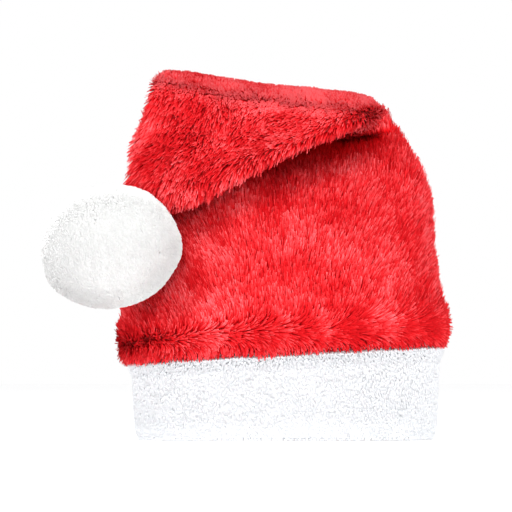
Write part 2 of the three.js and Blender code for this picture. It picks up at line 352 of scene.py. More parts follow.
def smooth_column(name, place):
    """A column of the crown's table at places between its rows."""
    values = CROWN[name]
    last = len(values) - 1
    row = np.clip(np.floor(place).astype(int), 0, last - 1)
    part = place - row
    before, start, end, after = (
        values[np.clip(row + step, 0, last)] for step in (-1, 0, 1, 2)
    )
    square, cube = part**2, part**3
    return (
        start * (2 * cube - 3 * square + 1)
        + (end - before) / 2 * (cube - 2 * square + part)
        + end * (3 * square - 2 * cube)
        + (after - start) / 2 * (cube - square)
    )


def seam_height(x):
    """Height of the seam between band and crown, x from the band's axis."""
    return BAND_HEIGHT + SEAM_RISE * x / CROWN_WIDTH


def section_at(place):
    column = {name: smooth_column(name, place) for name in CROWN_COLUMNS}
    left = column["left"] * CROWN_WIDTH / 2
    right = column["right"] * CROWN_WIDTH / 2
    return {
        "left": left,
        "right": right,
        "left_z": lerp(seam_height(left), HAT_HEIGHT, column["leftUp"]),
        "right_z": lerp(seam_height(right), HAT_HEIGHT, column["rightUp"]),
        "sag": column["sag"] * HAT_HEIGHT,
        "y": column["back"] * CROWN_DEPTH,
        "thickness": column["deep"] * CROWN_DEPTH + column["fold"] * FOLD_THICKNESS,
        "lean": np.radians(column["lean"]),
        "drape": np.clip(column["drape"], 0, 1),
        "full": column["full"],
    }


RISING = section_at(np.arange(2 * FOLD_ROW + 1) / 2)
RISING_HEIGHTS = (RISING["left_z"] + RISING["right_z"]) / 2


def crown_front(x, z):
    """The y of the rising crown's front, for what hangs in front of it."""
    last = len(RISING_HEIGHTS) - 1
    upper = np.clip(np.searchsorted(RISING_HEIGHTS, z, side="right"), 1, last)
    low, high = RISING_HEIGHTS[upper - 1], RISING_HEIGHTS[upper]
    part = np.clip((z - low) / (high - low), 0, 1)
    left, right, y, thickness, full = (
        lerp(RISING[name][upper - 1], RISING[name][upper], part)
        for name in ("left", "right", "y", "thickness", "full")
    )
    across = np.minimum(np.abs(x - (left + right) / 2) / ((right - left) / 2), 1)
    bulge = (1 - (across * FLAP_CURL) ** full) ** (1 / full)
    return y - thickness / 2 * bulge


def crown_relief(place, angle):
    swell = sum(
        height * np.sin(turns * angle + climb * place + start)
        for height, turns, climb, start in SWELLS
    )
    groove = hump(place - GROOVE_ROW, GROOVE_SPREAD) * np.maximum(-np.sin(angle), 0)
    from_seam = np.abs(angle - SIDE_SEAM_TURN)
    from_seam = np.minimum(from_seam, np.abs(angle - SIDE_SEAM_TURN + math.pi))
    seam = hump(from_seam, SIDE_SEAM_SPREAD) * np.maximum(1 - place / SIDE_SEAM_ROWS, 0)
    return np.minimum(place, 1) * (
        swell - HEM_GROOVE_DEPTH * groove - SIDE_SEAM_DEPTH * seam
    )


def crown_points(place, angle, grow, relief=True):
    """Points of the crown's surface moved outwards by grow, in the part's frame."""
    section = section_at(place)
    half = (section["right"] - section["left"]) / 2
    grow = grow + (crown_relief(place, angle) if relief else 0)
    wide = np.maximum(half + grow, LEAST_HALF)
    thick = np.maximum(section["thickness"] / 2 + grow, LEAST_HALF)
    across = wide / half * signed_power(np.cos(angle), 2 / section["full"])
    out = thick * signed_power(np.sin(angle), 2 / section["full"])
    share = (1 + across) / 2
    x = lerp(section["left"], section["right"], share)
    sag = section["sag"] * np.sin(math.pi * np.clip(share, 0, 1))
    z = lerp(section["left_z"], section["right_z"], share) - sag
    draped = crown_front(x, z) - FLAP_GAP - section["thickness"] / 2
    y = lerp(section["y"], draped, section["drape"])
    y = y + out * np.cos(section["lean"])
    z = z + out * np.sin(section["lean"])
    return np.stack([x, y, z], -1) + hat_axis()


def hat_axis():
    """Where the band's axis meets the floor, which the part's source measures from."""
    low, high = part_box("band")
    return np.array([(low.x + high.x) / 2, (low.y + high.y) / 2, 0])


def band_points(inset, height, angle):
    x = (BAND_WIDTH / 2 - inset) * signed_power(np.cos(angle), 2 / BAND_FULLNESS)
    y = (BAND_DEPTH / 2 - inset) * signed_power(np.sin(angle), 2 / BAND_FULLNESS)
    z = height * seam_height(x) / BAND_HEIGHT
    return np.stack([x, y, z], -1) + hat_axis()


def lumps(points, size, seed):
    """Soft noise from -1 to 1 at points, with lumps of about that size."""
    shift = Vector((seed, 2.7 * seed, -1.3 * seed))
    return np.array([noise.noise(Vector(p) / size + shift) for p in points])


# Meshes


def grid_faces(rows, columns, first=0):
    """Quads of a grid that closes round its columns."""
    row, column = np.mgrid[0 : rows - 1, 0:columns]
    low = first + row * columns
    after = (column + 1) % columns
    quads = [low + column, low + after, low + columns + after, low + columns + column]
    return np.stack(quads, -1).reshape(-1, 4)


def fan(ring, middle):
    return np.stack([ring, np.roll(ring, -1), np.full(len(ring), middle)], -1)


def make_piece(name, points, faces, materials):
    mesh = bpy.data.meshes.new(name)
    mesh.from_pydata([tuple(p) for p in points], [], [tuple(map(int, f)) for f in faces])
    for material in materials:
        mesh.materials.append(material)
    mesh.shade_smooth()
    mesh.update()
    piece = bpy.data.objects.new(name, mesh)
    bpy.context.scene.collection.objects.link(piece)
    return piece


def tangent(directions, normals):
    """The directions laid into the surface, at unit length."""
    flat = directions - (directions * normals).sum(-1, keepdims=True) * normals
    return flat / np.maximum(np.linalg.norm(flat, axis=-1, keepdims=True), 1e-9)


def set_point_values(mesh, **values):
    for name, value in values.items():
        kind = "FLOAT_VECTOR" if value.ndim == 2 else "FLOAT"
        attribute = mesh.attributes.new(name, kind, "POINT")
        field = "vector" if value.ndim == 2 else "value"
        attribute.data.foreach_set(field, value.astype(np.float32).ravel())


def vertex_normals(mesh):
    normals = np.zeros(len(mesh.vertices) * 3, np.float32)
    mesh.vertex_normals.foreach_get("vector", normals)
    return normals.reshape(-1, 3).astype(float)


# Nodes


class Wire:
    """An output of a node. Arithmetic on it adds Math or Vector Math nodes."""

    def __init__(self, nodes, socket):
        self.nodes = nodes
        self.socket = socket

    def math(self, operation, *values):
        wires = [value for value in values if isinstance(value, Wire)]
        vector = any(wire.socket.type in ("VECTOR", "RGBA") for wire in wires)
        kind = "ShaderNodeVectorMath" if vector else "ShaderNodeMath"
        return self.nodes.add(kind, {"operation": operation}, values)

    def __add__(self, other):
        return self.math("ADD", self, other)

    def __radd__(self, other):
        return self.math("ADD", other, self)

    def __sub__(self, other):
        return self.math("SUBTRACT", self, other)

    def __rsub__(self, other):
        return self.math("SUBTRACT", other, self)

    def __mul__(self, other):
        return self.math("MULTIPLY", self, other)

    def __rmul__(self, other):
        return self.math("MULTIPLY", other, self)

    def __rtruediv__(self, other):
        return self.math("DIVIDE", other, self)

    def at_least(self, other):
        return self.math("MAXIMUM", self, other)

    def at_most(self, other):
        return self.math("MINIMUM", self, other)

    def fade(self, start, end):
        """0 before start, 1 after end and smooth between."""
        return self.nodes.add(
            "ShaderNodeMapRange",
            {"interpolation_type": "SMOOTHSTEP"},
            {"Value": self, "From Min": start, "From Max": end},
        )


class Nodes:
    """Adds nodes to one tree."""

    def __init__(self, tree):
        self.tree = tree

    def add(self, kind, settings=(), inputs=(), output=0):
        """A node's output. settings are set first; inputs go by name, or in order."""
        node = self.tree.nodes.new(kind)
        for name, value in dict(settings).items():
            setattr(node, name, value)
        open_inputs = [socket for socket in node.inputs if socket.enabled]
        if isinstance(inputs, dict):
            first = {}
            for socket in open_inputs:
                first.setdefault(socket.name, socket)
            pairs = [(first[name], value) for name, value in inputs.items()]
        else:
            pairs = list(zip(open_inputs, inputs))
        for socket, value in pairs:
            self.feed(socket, value)
        outputs = [socket for socket in node.outputs if socket.enabled]
        if isinstance(output, str):
            found = next(socket for socket in outputs if socket.name == output)
        else:
            found = outputs[output] if outputs else None
        return Wire(self, found) if found else node

    def feed(self, socket, value):
        if isinstance(value, Wire):
            self.tree.links.new(value.socket, socket)
        elif socket.type in ("VECTOR", "RGBA") and isinstance(value, (int, float)):
            socket.default_value = [value] * len(socket.default_value)
        else:
            socket.default_value = value

    def mix(self, share, first, second):
        """Between two colours."""
        return self.add(
            "ShaderNodeMix",
            {"data_type": "RGBA"},
            {"Factor": share, "A": first, "B": second},
        )

    def sibling(self, wire, name):
        """Another output of the node that a wire comes from."""
        node = wire.socket.node
        return Wire(self, next(s for s in node.outputs if s.name == name and s.enabled))


def opaque(colour):
    return (*colour, 1.0)


def new_material(name):
    """A material's node maker and its surface shader."""
    material = bpy.data.materials.new(name)
    material.use_nodes = True
    shader = material.node_tree.nodes["Principled BSDF"]
    return material, Nodes(material.node_tree), shader


def pile_material(name, root, body, tip, shade, sheen, specular):
    """Roots darkened by painted shade, tips paled by painted sheen, and a tone for each tuft from
    the pile's own map.
    """
    material, nodes, shader = new_material(name)
    place = nodes.add("ShaderNodeUVMap", {"uv_map": MAP})
    tone = nodes.add("ShaderNodeSeparateXYZ", (), [place], "X")
    along = nodes.sibling(tone, "Y")
    # painted shade darkens the tufts' roots
    lower = nodes.mix(along.fade(0.0, 0.5), opaque(root), opaque(body))
    # painted sheen pales the tufts' tips
    upper = nodes.mix(along.fade(0.3, 1.0) * tone * tone, lower, opaque(tip))
    # the tone deepens or pales the whole tuft: at random, and where it carries painted shade or
    # painted light
    shaded = upper * (1 - shade + 1.6 * shade * tone)
    nodes.feed(shader.inputs["Base Color"], shaded)
    shader.inputs["Roughness"].default_value = 0.62
    shader.inputs["Specular IOR Level"].default_value = specular
    shader.inputs["Sheen Weight"].default_value = sheen
    shader.inputs["Sheen Roughness"].default_value = 0.4
    shader.inputs["Sheen Tint"].default_value = opaque(tip)
    return material


def backing_material(name, colour, deep):
    """Knitted backing: rows of small stitches, with painted shade between them."""
    material, nodes, shader = new_material(name)
    place = nodes.add("ShaderNodeUVMap", {"uv_map": "knit"})
    across = nodes.add("ShaderNodeSeparateXYZ", (), [place], "X")
    along = nodes.sibling(across, "Y")
    rib = nodes.add("ShaderNodeMath", {"operation": "SINE"}, [across * 2 * math.pi])
    zigzag = along + 0.25 * rib
    row = nodes.add("ShaderNodeMath", {"operation": "SINE"}, [zigzag * 2 * math.pi])
    stitch = (rib * 0.25 + 0.5) * (row * 0.3 + 0.7)
    worn = nodes.add("ShaderNodeTexNoise", (), {"Vector": place, "Scale": 0.12}, "Fac")
    # painted shade in the low gaps between stitches, and random wear
    nodes.feed(
        shader.inputs["Base Color"],
        nodes.mix(stitch * 0.7 + worn * 0.3, opaque(deep), opaque(colour)),
    )
    bump = nodes.add(
        "ShaderNodeBump", (), {"Strength": 0.5, "Distance": 0.0004, "Height": stitch}
    )
    nodes.feed(shader.inputs["Normal"], bump)
    shader.inputs["Roughness"].default_value = 0.9
    shader.inputs["Sheen Weight"].default_value = 0.15
    return material


# Pile


def strand_object():
    """One closed tuft of four faces from z 0 to 1, its tip edge across its root edge."""
    tip = STRAND_TIP / 2
    points = [(-0.5, 0, 0), (0.5, 0, 0), (0, -tip, 1), (0, tip, 1)]
    strand = make_piece("strand", points, [(0, 1, 2), (1, 0, 3), (0, 2, 3), (1, 3, 2)], ())
    places = [(-1, 0, 0), (1, 0, 0), (-1, 1, 0), (1, 1, 0)]
    values = np.array(places) * (STRAND_MAP_HALF, 1, 1)
    set_point_values(strand.data, strand=values)
    return strand


PILE_INPUTS = (
    ("Surface", "Geometry"),
    ("Strand", "Object"),
    ("Width", "Float"),
    ("Clump size", "Float"),
    ("Clump pull", "Float"),
    ("Wave size", "Float"),
    ("Wave turn", "Float"),
    ("Stray", "Float"),
    ("Least rise", "Float"),
    ("Roll", "Float"),
    ("Softness", "Float"),
    ("Tone spread", "Float"),
    ("Clump tone", "Float"),
    ("Seed", "Int"),
    ("Material", "Material"),
)


def pile_tree():
    """Geometry Nodes that stand tufts on a surface.

    The surface's points carry aim, the way a tuft leans, long, its length, crowd, how many stand
    on a square metre, and tone. Tufts lean towards their clump's middle and turn in soft waves.
    """
    tree = bpy.data.node_groups.new("pile", "GeometryNodeTree")
    for name, kind in PILE_INPUTS:
        tree.interface.new_socket(name, in_out="INPUT", socket_type="NodeSocket" + kind)
    tree.interface.new_socket("Pile", in_out="OUTPUT", socket_type="NodeSocketGeometry")
    nodes = Nodes(tree)
    surface = nodes.add("NodeGroupInput", (), (), "Surface")
    given = {name: nodes.sibling(surface, name) for name, _ in PILE_INPUTS}
    seed = given["Seed"]

    def held(name, kind="FLOAT"):
        return nodes.add(
            "GeometryNodeInputNamedAttribute", {"data_type": kind}, {"Name": name}
        )

    def chance(low, high, turn, kind="FLOAT"):
        return nodes.add(
            "FunctionNodeRandomValue",
            {"data_type": kind},
            {"Min": low, "Max": high, "Seed": seed + turn},
        )

    roots = nodes.add(
        "GeometryNodeDistributePointsOnFaces",
        {"distribute_method": "RANDOM"},
        {"Mesh": surface, "Density": held("crowd"), "Seed": seed},
        "Points",
    )
    normal = nodes.sibling(roots, "Normal")
    place = nodes.add("GeometryNodeInputPosition")
    long = held("long") * chance(0.72, 1.08, 1)
    cell = nodes.add(
        "ShaderNodeTexVoronoi",
        (),
        {"Vector": place, "Scale": 1 / given["Clump size"]},
        "Position",
    )
    cell_tone = nodes.add("ShaderNodeSeparateXYZ", (), [nodes.sibling(cell, "Color")], "X")
    wave = nodes.add(
        "ShaderNodeTexNoise",
        (),
        {"Vector": place, "Scale": 1 / given["Wave size"], "Detail": 2.0},
        "Color",
    )
    aim = (
        held("aim", "FLOAT_VECTOR") * long
        + (cell - place) * given["Clump pull"]
        + (wave - 0.5) * (given["Wave turn"] * long)
        + chance((-1.0,) * 3, (1.0,) * 3, 2, "FLOAT_VECTOR") * (given["Stray"] * long)
    )
    rise = nodes.add(
        "ShaderNodeVectorMath", {"operation": "DOT_PRODUCT"}, [aim, normal], "Value"
    )
    lift = (given["Least rise"] * long - rise).at_least(0.0)
    pointed = nodes.add(
        "FunctionNodeAlignRotationToVector", {"axis": "Z"}, {"Vector": aim + normal * lift}
    )
    roll = chance((-1.0,) * 3, (1.0,) * 3, 3, "FLOAT_VECTOR") * given["Roll"]
    turned = nodes.add(
        "FunctionNodeAlignRotationToVector",
        {"axis": "X", "pivot_axis": "Z"},
        {"Rotation": pointed, "Vector": normal + roll},
    )
    width = given["Width"] * chance(0.7, 1.25, 4)
    size = nodes.add("ShaderNodeCombineXYZ", (), [width, width, long])
    tone = (
        held("tone")
        + chance(-1.0, 1.0, 5) * given["Tone spread"]
        + (cell_tone - 0.5) * given["Clump tone"]
    )
    faced = nodes.add(
        "GeometryNodeStoreNamedAttribute",
        {"data_type": "FLOAT_VECTOR", "domain": "POINT"},
        {"Geometry": roots, "Name": "facing", "Value": normal},
    )
    toned = nodes.add(
        "GeometryNodeStoreNamedAttribute",
        {"data_type": "FLOAT", "domain": "POINT"},
        {"Geometry": faced, "Name": "tone", "Value": tone.at_least(0.01).at_most(0.99)},
    )
    strand = nodes.add("GeometryNodeObjectInfo", (), {"Object": given["Strand"]}, "Geometry")
    tufts = nodes.add(
        "GeometryNodeInstanceOnPoints",
        (),
        {"Points": toned, "Instance": strand, "Rotation": turned, "Scale": size},
    )
    real = nodes.add("GeometryNodeRealizeInstances", (), [tufts])
    spot = held("strand", "FLOAT_VECTOR")
    spot = spot + nodes.add("ShaderNodeCombineXYZ", (), [held("tone"), 0.0, 0.0])
    mapped = nodes.add(
        "GeometryNodeStoreNamedAttribute",
        {"data_type": "FLOAT2", "domain": "CORNER"},
        {"Geometry": real, "Name": MAP, "Value": spot},
    )
    own = nodes.add("GeometryNodeInputNormal", (), (), "Normal")
    soft = held("facing", "FLOAT_VECTOR") * given["Softness"]
    soft = soft + own * (1 - given["Softness"])
    lit = nodes.add(
        "GeometryNodeSetMeshNormal",
        {"mode": "FREE", "domain": "CORNER"},
        {"Mesh": mapped, "Custom Normal": soft},
    )
    dyed = nodes.add(
        "GeometryNodeSetMaterial", (), {"Geometry": lit, "Material": given["Material"]}
    )
    nodes.add("NodeGroupOutput", (), [dyed])
    return tree


def grow_pile(name, surface, crowd, strands, settings):
    """A mesh of about that many tufts on a surface, as thick as crowd says."""
    mesh = surface.data
    set_point_values(mesh, crowd=crowd * strands / integral(mesh, crowd))
    tree = bpy.data.node_groups.get("pile") or pile_tree()
    strand = bpy.data.objects.get("strand") or strand_object()
    modifier = surface.modifiers.new("pile", "NODES")
    modifier.node_group = tree
    values = {"Strand": strand, **settings}
    for item in tree.interface.items_tree:
        if item.in_out == "INPUT" and item.name in values:
            modifier[item.identifier] = values[item.name]
    depsgraph = bpy.context.evaluated_depsgraph_get()
    grown = bpy.data.meshes.new_from_object(
        surface.evaluated_get(depsgraph), preserve_all_data_layers=True, depsgraph=depsgraph
    )
    surface.modifiers.remove(modifier)
    mesh.attributes.remove(mesh.attributes["crowd"])
    for used in ("strand", "tone", "aim", "long", "crowd", "facing"):
        if used in grown.attributes:
            grown.attributes.remove(grown.attributes[used])
    grown.name = name
    piece = bpy.data.objects.new(name, grown)
    bpy.context.scene.collection.objects.link(piece)
    press_on_floor(grown)
    return piece


def integral(mesh, values):
    """The sum of a point value over a mesh's surface."""
    total = 0.0
    for face in mesh.polygons:
        total += face.area * values[list(face.vertices)].mean()
    return total


def press_on_floor(mesh):
    points = np.zeros(len(mesh.vertices) * 3, np.float32)
    mesh.vertices.foreach_get("co", points)
    points[2::3] = np.maximum(points[2::3], 0)
    mesh.vertices.foreach_set("co", points)
    mesh.update()


def knit_map(piece, across, along):
    """The map that a backing's stitches follow, from values at the piece's points."""
    knit = piece.data.uv_layers.new(name="knit")
    for loop in piece.data.loops:
        knit.data[loop.index].uv = (across[loop.vertex_index], along[loop.vertex_index])


def pile_surface(piece):
    """A copy of a cloth piece, for its pile to grow on."""
    surface = piece.copy()
    surface.data = piece.data.copy()
    bpy.context.scene.collection.objects.link(surface)
    return surface


def finish_piece(piece):
    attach(piece, "root")


# Operators


def crown_grid(grow, relief=True, last_row=TIP_ROW):
    """Places, angles and points of a grid over the crown's surface, and how many rings it has."""
    places = np.arange(last_row * CROWN_RINGS_PER_ROW + 1) / CROWN_RINGS_PER_ROW
    angles = 2 * math.pi * np.arange(CROWN_AROUND) / CROWN_AROUND
    place, angle = np.meshgrid(places, angles, indexing="ij")
    place, angle = place.ravel(), angle.ravel()
    points = crown_points(place, angle, grow, relief)
    points[:, 1] += mouth_dent(place, angle, points)
    rings = len(places)
    return place, angle, drawn_taut(place, angle, points, rings), rings


def flap_edge(x):
    """Height of the hanging tail's lower edge, x from the band's axis."""
    section = section_at(np.linspace(RIDGE_ROW, TIP_ROW, 40))
    return np.interp(x, section["right"][::-1], section["right_z"][::-1])


def in_mouth(place, angle, points):
    """From 0 to 1, how far a point of the crown's front lies in the mouth under the fold."""
    x = points[:, 0] - hat_axis()[0]
    over_edge = points[:, 2] - flap_edge(x)
    on_front = (1 - fade(place, FOLD_ROW - 1, FOLD_ROW)) * np.maximum(-np.sin(angle), 0)
    return on_front * hump(over_edge - MOUTH_RISE, MOUTH_HEIGHT) * fade(x, *MOUTH_SIDES)


def mouth_dent(place, angle, points):
    """How far the crown's front sinks back and the tail's edge comes forward at the fold."""
    on_edge = hump(1 - np.cos(angle), 0.5) * fade(place, RIDGE_ROW, FLAP_ROW)
    lift = MOUTH_LIFT * on_edge * (1 - fade(place, FLAP_ROW + 1, HOLLOW_ROW))
    return MOUTH_DEPTH * in_mouth(place, angle, points) - lift


def drawn_taut(place, angle, points, rings):
    """The points with the hollows of the tail's outer side drawn straight, as its cloth hangs."""
    free = fade(place, RIDGE_ROW, RIDGE_ROW + 1) * fade(np.sin(angle), 0, 0.35)
    free *= 1 - fade(place, HOLLOW_ROW - 1, HOLLOW_ROW)
    given = points[:, 1].reshape(rings, CROWN_AROUND)
    share = free.reshape(rings, CROWN_AROUND)[1:-1] / 2
    y = given.copy()
    for _ in range(TAUT_ROUNDS):
        y[1:-1] += share * ((y[:-2] + y[2:]) / 2 - y[1:-1])
        y = np.minimum(y, given)
    grid = np.stack([points[:, 0], y.ravel(), points[:, 2]], -1).reshape(rings, -1, 3)
    rounded = hump(place - RIDGE_ROW - 1.2, LIP_SPREAD) * fade(np.sin(angle), -0.1, 0.3)
    share = rounded.reshape(rings, CROWN_AROUND, 1)[1:-1] / 2
    for _ in range(LIP_ROUNDS):
        grid[1:-1] += share * ((grid[:-2] + grid[2:]) / 2 - grid[1:-1])
    return grid.reshape(-1, 3)


class HAT_OT_crown_cloth(bpy.types.Operator):
    """The crown's cloth, hollow from the hem to the end of its tail"""

    bl_idname = "hat.crown_cloth"
    bl_label = "Crown cloth"

    def execute(self, context):
        place, angle, outer, rings = crown_grid(-context.scene.hat_pile.crown_pile)
        _, _, inner, inner_rings = crown_grid(-CROWN_WALL, False, HOLLOW_ROW)
        count = CROWN_AROUND
        first_inner = len(outer)
        ends = len(outer) + len(inner)
        points = np.vstack([outer, inner, outer[-count:].mean(0), inner[-count:].mean(0)])
        ring = np.arange(count)
        rim = np.stack(
            [ring, first_inner + ring, first_inner + np.roll(ring, -1), np.roll(ring, -1)],
            -1,
        )
        faces = [
            *grid_faces(rings, count),
            *grid_faces(inner_rings, count, first_inner)[:, ::-1],
            *rim,
            *fan((rings - 1) * count + ring, ends),
            *fan(first_inner + (inner_rings - 1) * count + ring, ends + 1)[:, ::-1],
        ]
        backing = backing_material("red backing", *RED_BACKING)
        piece = make_piece("crown_cloth", points, faces, [backing])
        turn = np.concatenate([angle, angle[: len(inner)], [0, 0]])
        length = np.concatenate([place, place[: len(inner)], [TIP_ROW, HOLLOW_ROW]])
        knit_map(piece, turn * STITCHES_A_RADIAN, length * CROWN_STITCHES_A_ROW)
        finish_piece(piece)
        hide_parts("crown")
        return {"FINISHED"}


def pile_settings(context, material, seed, **changes):
    sizes = context.scene.hat_pile
    settings = {
        "Width": sizes.strand_width,
        "Clump size": sizes.clump_size,
        "Clump pull": 0.35,
        "Wave size": 0.012,
        "Wave turn": 0.7,
        "Stray": 0.12,
        "Least rise": 0.2,
        "Roll": 0.6,
        "Softness": 0.45,
        "Tone spread": 0.35,
        "Clump tone": 0.35,
        "Seed": seed,
        "Material": material,
    }
    return settings | changes


def red_pile_material(context):
    colours = context.scene.hat_colours
    shades = (colours.red_root_painted_shade, colours.red_body, colours.red_tip_painted_sheen)
    return bpy.data.materials.get("red pile") or pile_material(
        "red pile", *shades, shade=0.3, sheen=0.0, specular=0.06
    )


def white_pile_material(name, colour):
    white = np.array(colour)
    tip = np.minimum(white * 1.02, 1)
    return pile_material(name, white, white, tip, shade=0.06, sheen=0.2, specular=0.3)


def grow_white_pile(name, surface, crowd, material, seed, width, tufts):
    """Grows the pile of a white piece, and removes the surface that it grew on."""
    sizes = bpy.context.scene.hat_pile
    changes = tufts | {"Width": width * sizes.strand_width, "Softness": 0.0}
    settings = pile_settings(bpy.context, material, seed, **changes)
    finish_piece(grow_pile(name, surface, crowd, sizes.strands, settings))
    bpy.data.objects.remove(surface)


def under_the_flap(points):
    """From 0 to 1, how deep under the hanging tail a point of the crown's front lies."""
    x = points[:, 0] - hat_axis()[0]
    right = section_at(np.array([float(RIDGE_ROW)]))["right"]
    return fade(points[:, 2] - flap_edge(x), 0.004, 0.02) * (x < right)


def nap(place, angle, points, normals, rings):
    """Which way the red pile is combed: from hem to tip, but down over the seam at the hem."""
    grid = points.reshape(rings, CROWN_AROUND, 3)
    up_cloth = tangent(np.gradient(grid, axis=0).reshape(-1, 3), normals)
    across = np.cross(normals, up_cloth)
    x = points[:, 0] - hat_axis()[0]
    on_front = (1 - fade(place, FOLD_ROW - 2, FOLD_ROW)) * (np.sin(angle) < 0)
    fan = -FAN_TURN * on_front * x / (CROWN_WIDTH / 2)
    turned = up_cloth + across * (fan + 0.4 * lumps(points, 0.017, 7))[:, None]
    down_tail = np.tile(TAIL_COMB, (len(place), 1))
    down_tail[:, 0] *= 0.2 + fade(x, -CROWN_WIDTH / 2, CROWN_WIDTH / 4)
    on_tail = fade(place, *COMBED_ROWS)[:, None]
    turned = lerp(turned, tangent(down_tail, normals), on_tail)
    down_hem = tangent(np.tile(-UP, (len(place), 1)), normals)
    wander = 0.4 * lumps(points, 0.02, 41)
    above = fade(place + wander, GROOVE_ROW - 1, GROOVE_ROW + 1)[:, None]
    in_groove = 1 - np.abs(2 * above - 1)
    swirl = HEM_SWIRL * (1 + 0.5 * lumps(points, 0.012, 45))
    aside = across * (in_groove * swirl[:, None])
    return tangent(lerp(down_hem, turned, above) + aside, normals)


def eased_normals(place, normals, rings):
    """Normals that turn more slowly round the fold, so that its pile doesn't part."""
    grid = normals.reshape(rings, CROWN_AROUND, 3).copy()
    share = hump(place - RIDGE_ROW - 0.5, 3).reshape(rings, CROWN_AROUND, 1)[1:-1] / 2
    for _ in range(EASE_ROUNDS):
        beside = np.roll(grid, 1, 1) + np.roll(grid, -1, 1)
        middle = (grid[:-2] + grid[2:] + beside[1:-1]) / 4
        grid[1:-1] += share * (middle - grid[1:-1])
    return grid.reshape(-1, 3) / np.linalg.norm(grid.reshape(-1, 3), axis=1, keepdims=True)


def fold_zones(place, points, normals, outer):
    """Shares from 0 to 1 of how far each point lies in the zones round the fold."""
    upward = normals[:, 2] + SLOPE_WANDER * lumps(points, 0.006, 21)
    past_fold = fade(place, FOLD_ROW, FOLD_ROW + 1) * (outer > 0)
    tail = fade(place, FOLD_ROW, RIDGE_ROW + 1)
    drooping = fade(place, RIDGE_ROW + 0.2, RIDGE_ROW + 1.2) * (outer > 0)
    face = tail * fade(normals[:, 2], *FACE_SLOPE) * (outer > 0)
    return {
        "tail": tail,
        "top": fade(place, FOLD_ROW, FOLD_ROW + 0.5) * fade(upward, *TOP_SLOPE),
        "lip": hump(normals[:, 2] - LIP_SLOPE, 0.15) * past_fold,
        "parting": hump(upward - PARTING_SLOPE, 0.12) * past_fold,
        "drooping": drooping * (1 - fade(place, FLAP_ROW, FLAP_ROW + 1)),
        "face": face * (1 - fade(points[:, 0], *FACE_SIDES)),
    }


def red_aim(place, points, outer, eased, flow, zones):
    """Which way the red tufts point, as a vector that is longer where they lie flatter."""
    lean = RED_LEAN - FOLD_LEAN_LESS * zones["tail"] * (1 - fade(place, FLAP_ROW, HOLLOW_ROW - 2))
    lean = lean * (1 + 0.3 * lumps(points, 0.016, 3))
    lean = lerp(lean, TOP_LEAN, zones["top"] * (outer > -0.3))
    lean *= HEM_LEAN + (1 - HEM_LEAN) * fade(place, 0, 1.4)
    return eased + flow * lean[:, None] - UP * (LIP_DROOP * zones["drooping"])[:, None]


def red_length(place, points, zones):
    """How long the red tufts are, as a share of what the pile's height asks for."""
    share = RED_LENGTH + 0.15 * lumps(points, 0.011, 5)
    share *= HEM_LENGTH + (1 - HEM_LENGTH) * fade(place, 0.2, 1.6)
    share *= 1 - LIP_TRIM * zones["lip"] * (1 - zones["top"])
    return share * (1 + TOP_GROWTH * zones["top"])


def red_tone(place, angle, points, zones):
    """The red tufts' tone: higher is paler at the tips. It differs at random, is lowered by
    painted shade in the hem's groove, the mouth and the tail's face, and raised by painted light
    on the fold's lip.
    """
    tone = 0.5 + 0.4 * lumps(points, 0.019, 11) + 0.3 * lumps(points, 0.006, 13)
    # painted shade in the hem's groove
    tone -= GROOVE_PAINTED_SHADE * hump(place - GROOVE_ROW, 0.5) * (0.5 + lumps(points, 0.013, 15))
    # painted shade in the mouth under the fold, where the tail's edge overhangs the front
    tone -= MOUTH_PAINTED_SHADE * in_mouth(place, angle, points)
    # painted light on the fold's lip, over the shade between its upright and hanging tufts
    # painted shade on the tail's upward-sloping face, at its left
    return tone - FACE_PAINTED_SHADE * zones["face"] + LIP_PAINTED_LIGHT * zones["lip"]


def red_crowd(place, points, outer, zones):
    """How thickly the red tufts stand: thinly where they are hidden, and none in the band."""
    covered = under_the_flap(points) * (outer < 0) * (1 - zones["tail"])
    inside_fold = fade(-outer, 0.2, 0.6) * zones["tail"]
    shown = 1 - HIDDEN_THINNED * np.maximum(covered, inside_fold)
    thick = 1 + LIP_THICK * zones["lip"] + PARTING_THICK * zones["parting"]
    thick += GROOVE_THICK * hump(place - GROOVE_ROW, 0.6)
    over_seam = points[:, 2] - seam_height(points[:, 0] - hat_axis()[0])
    return shown * thick * fade(over_seam, *SEAM_FADE)


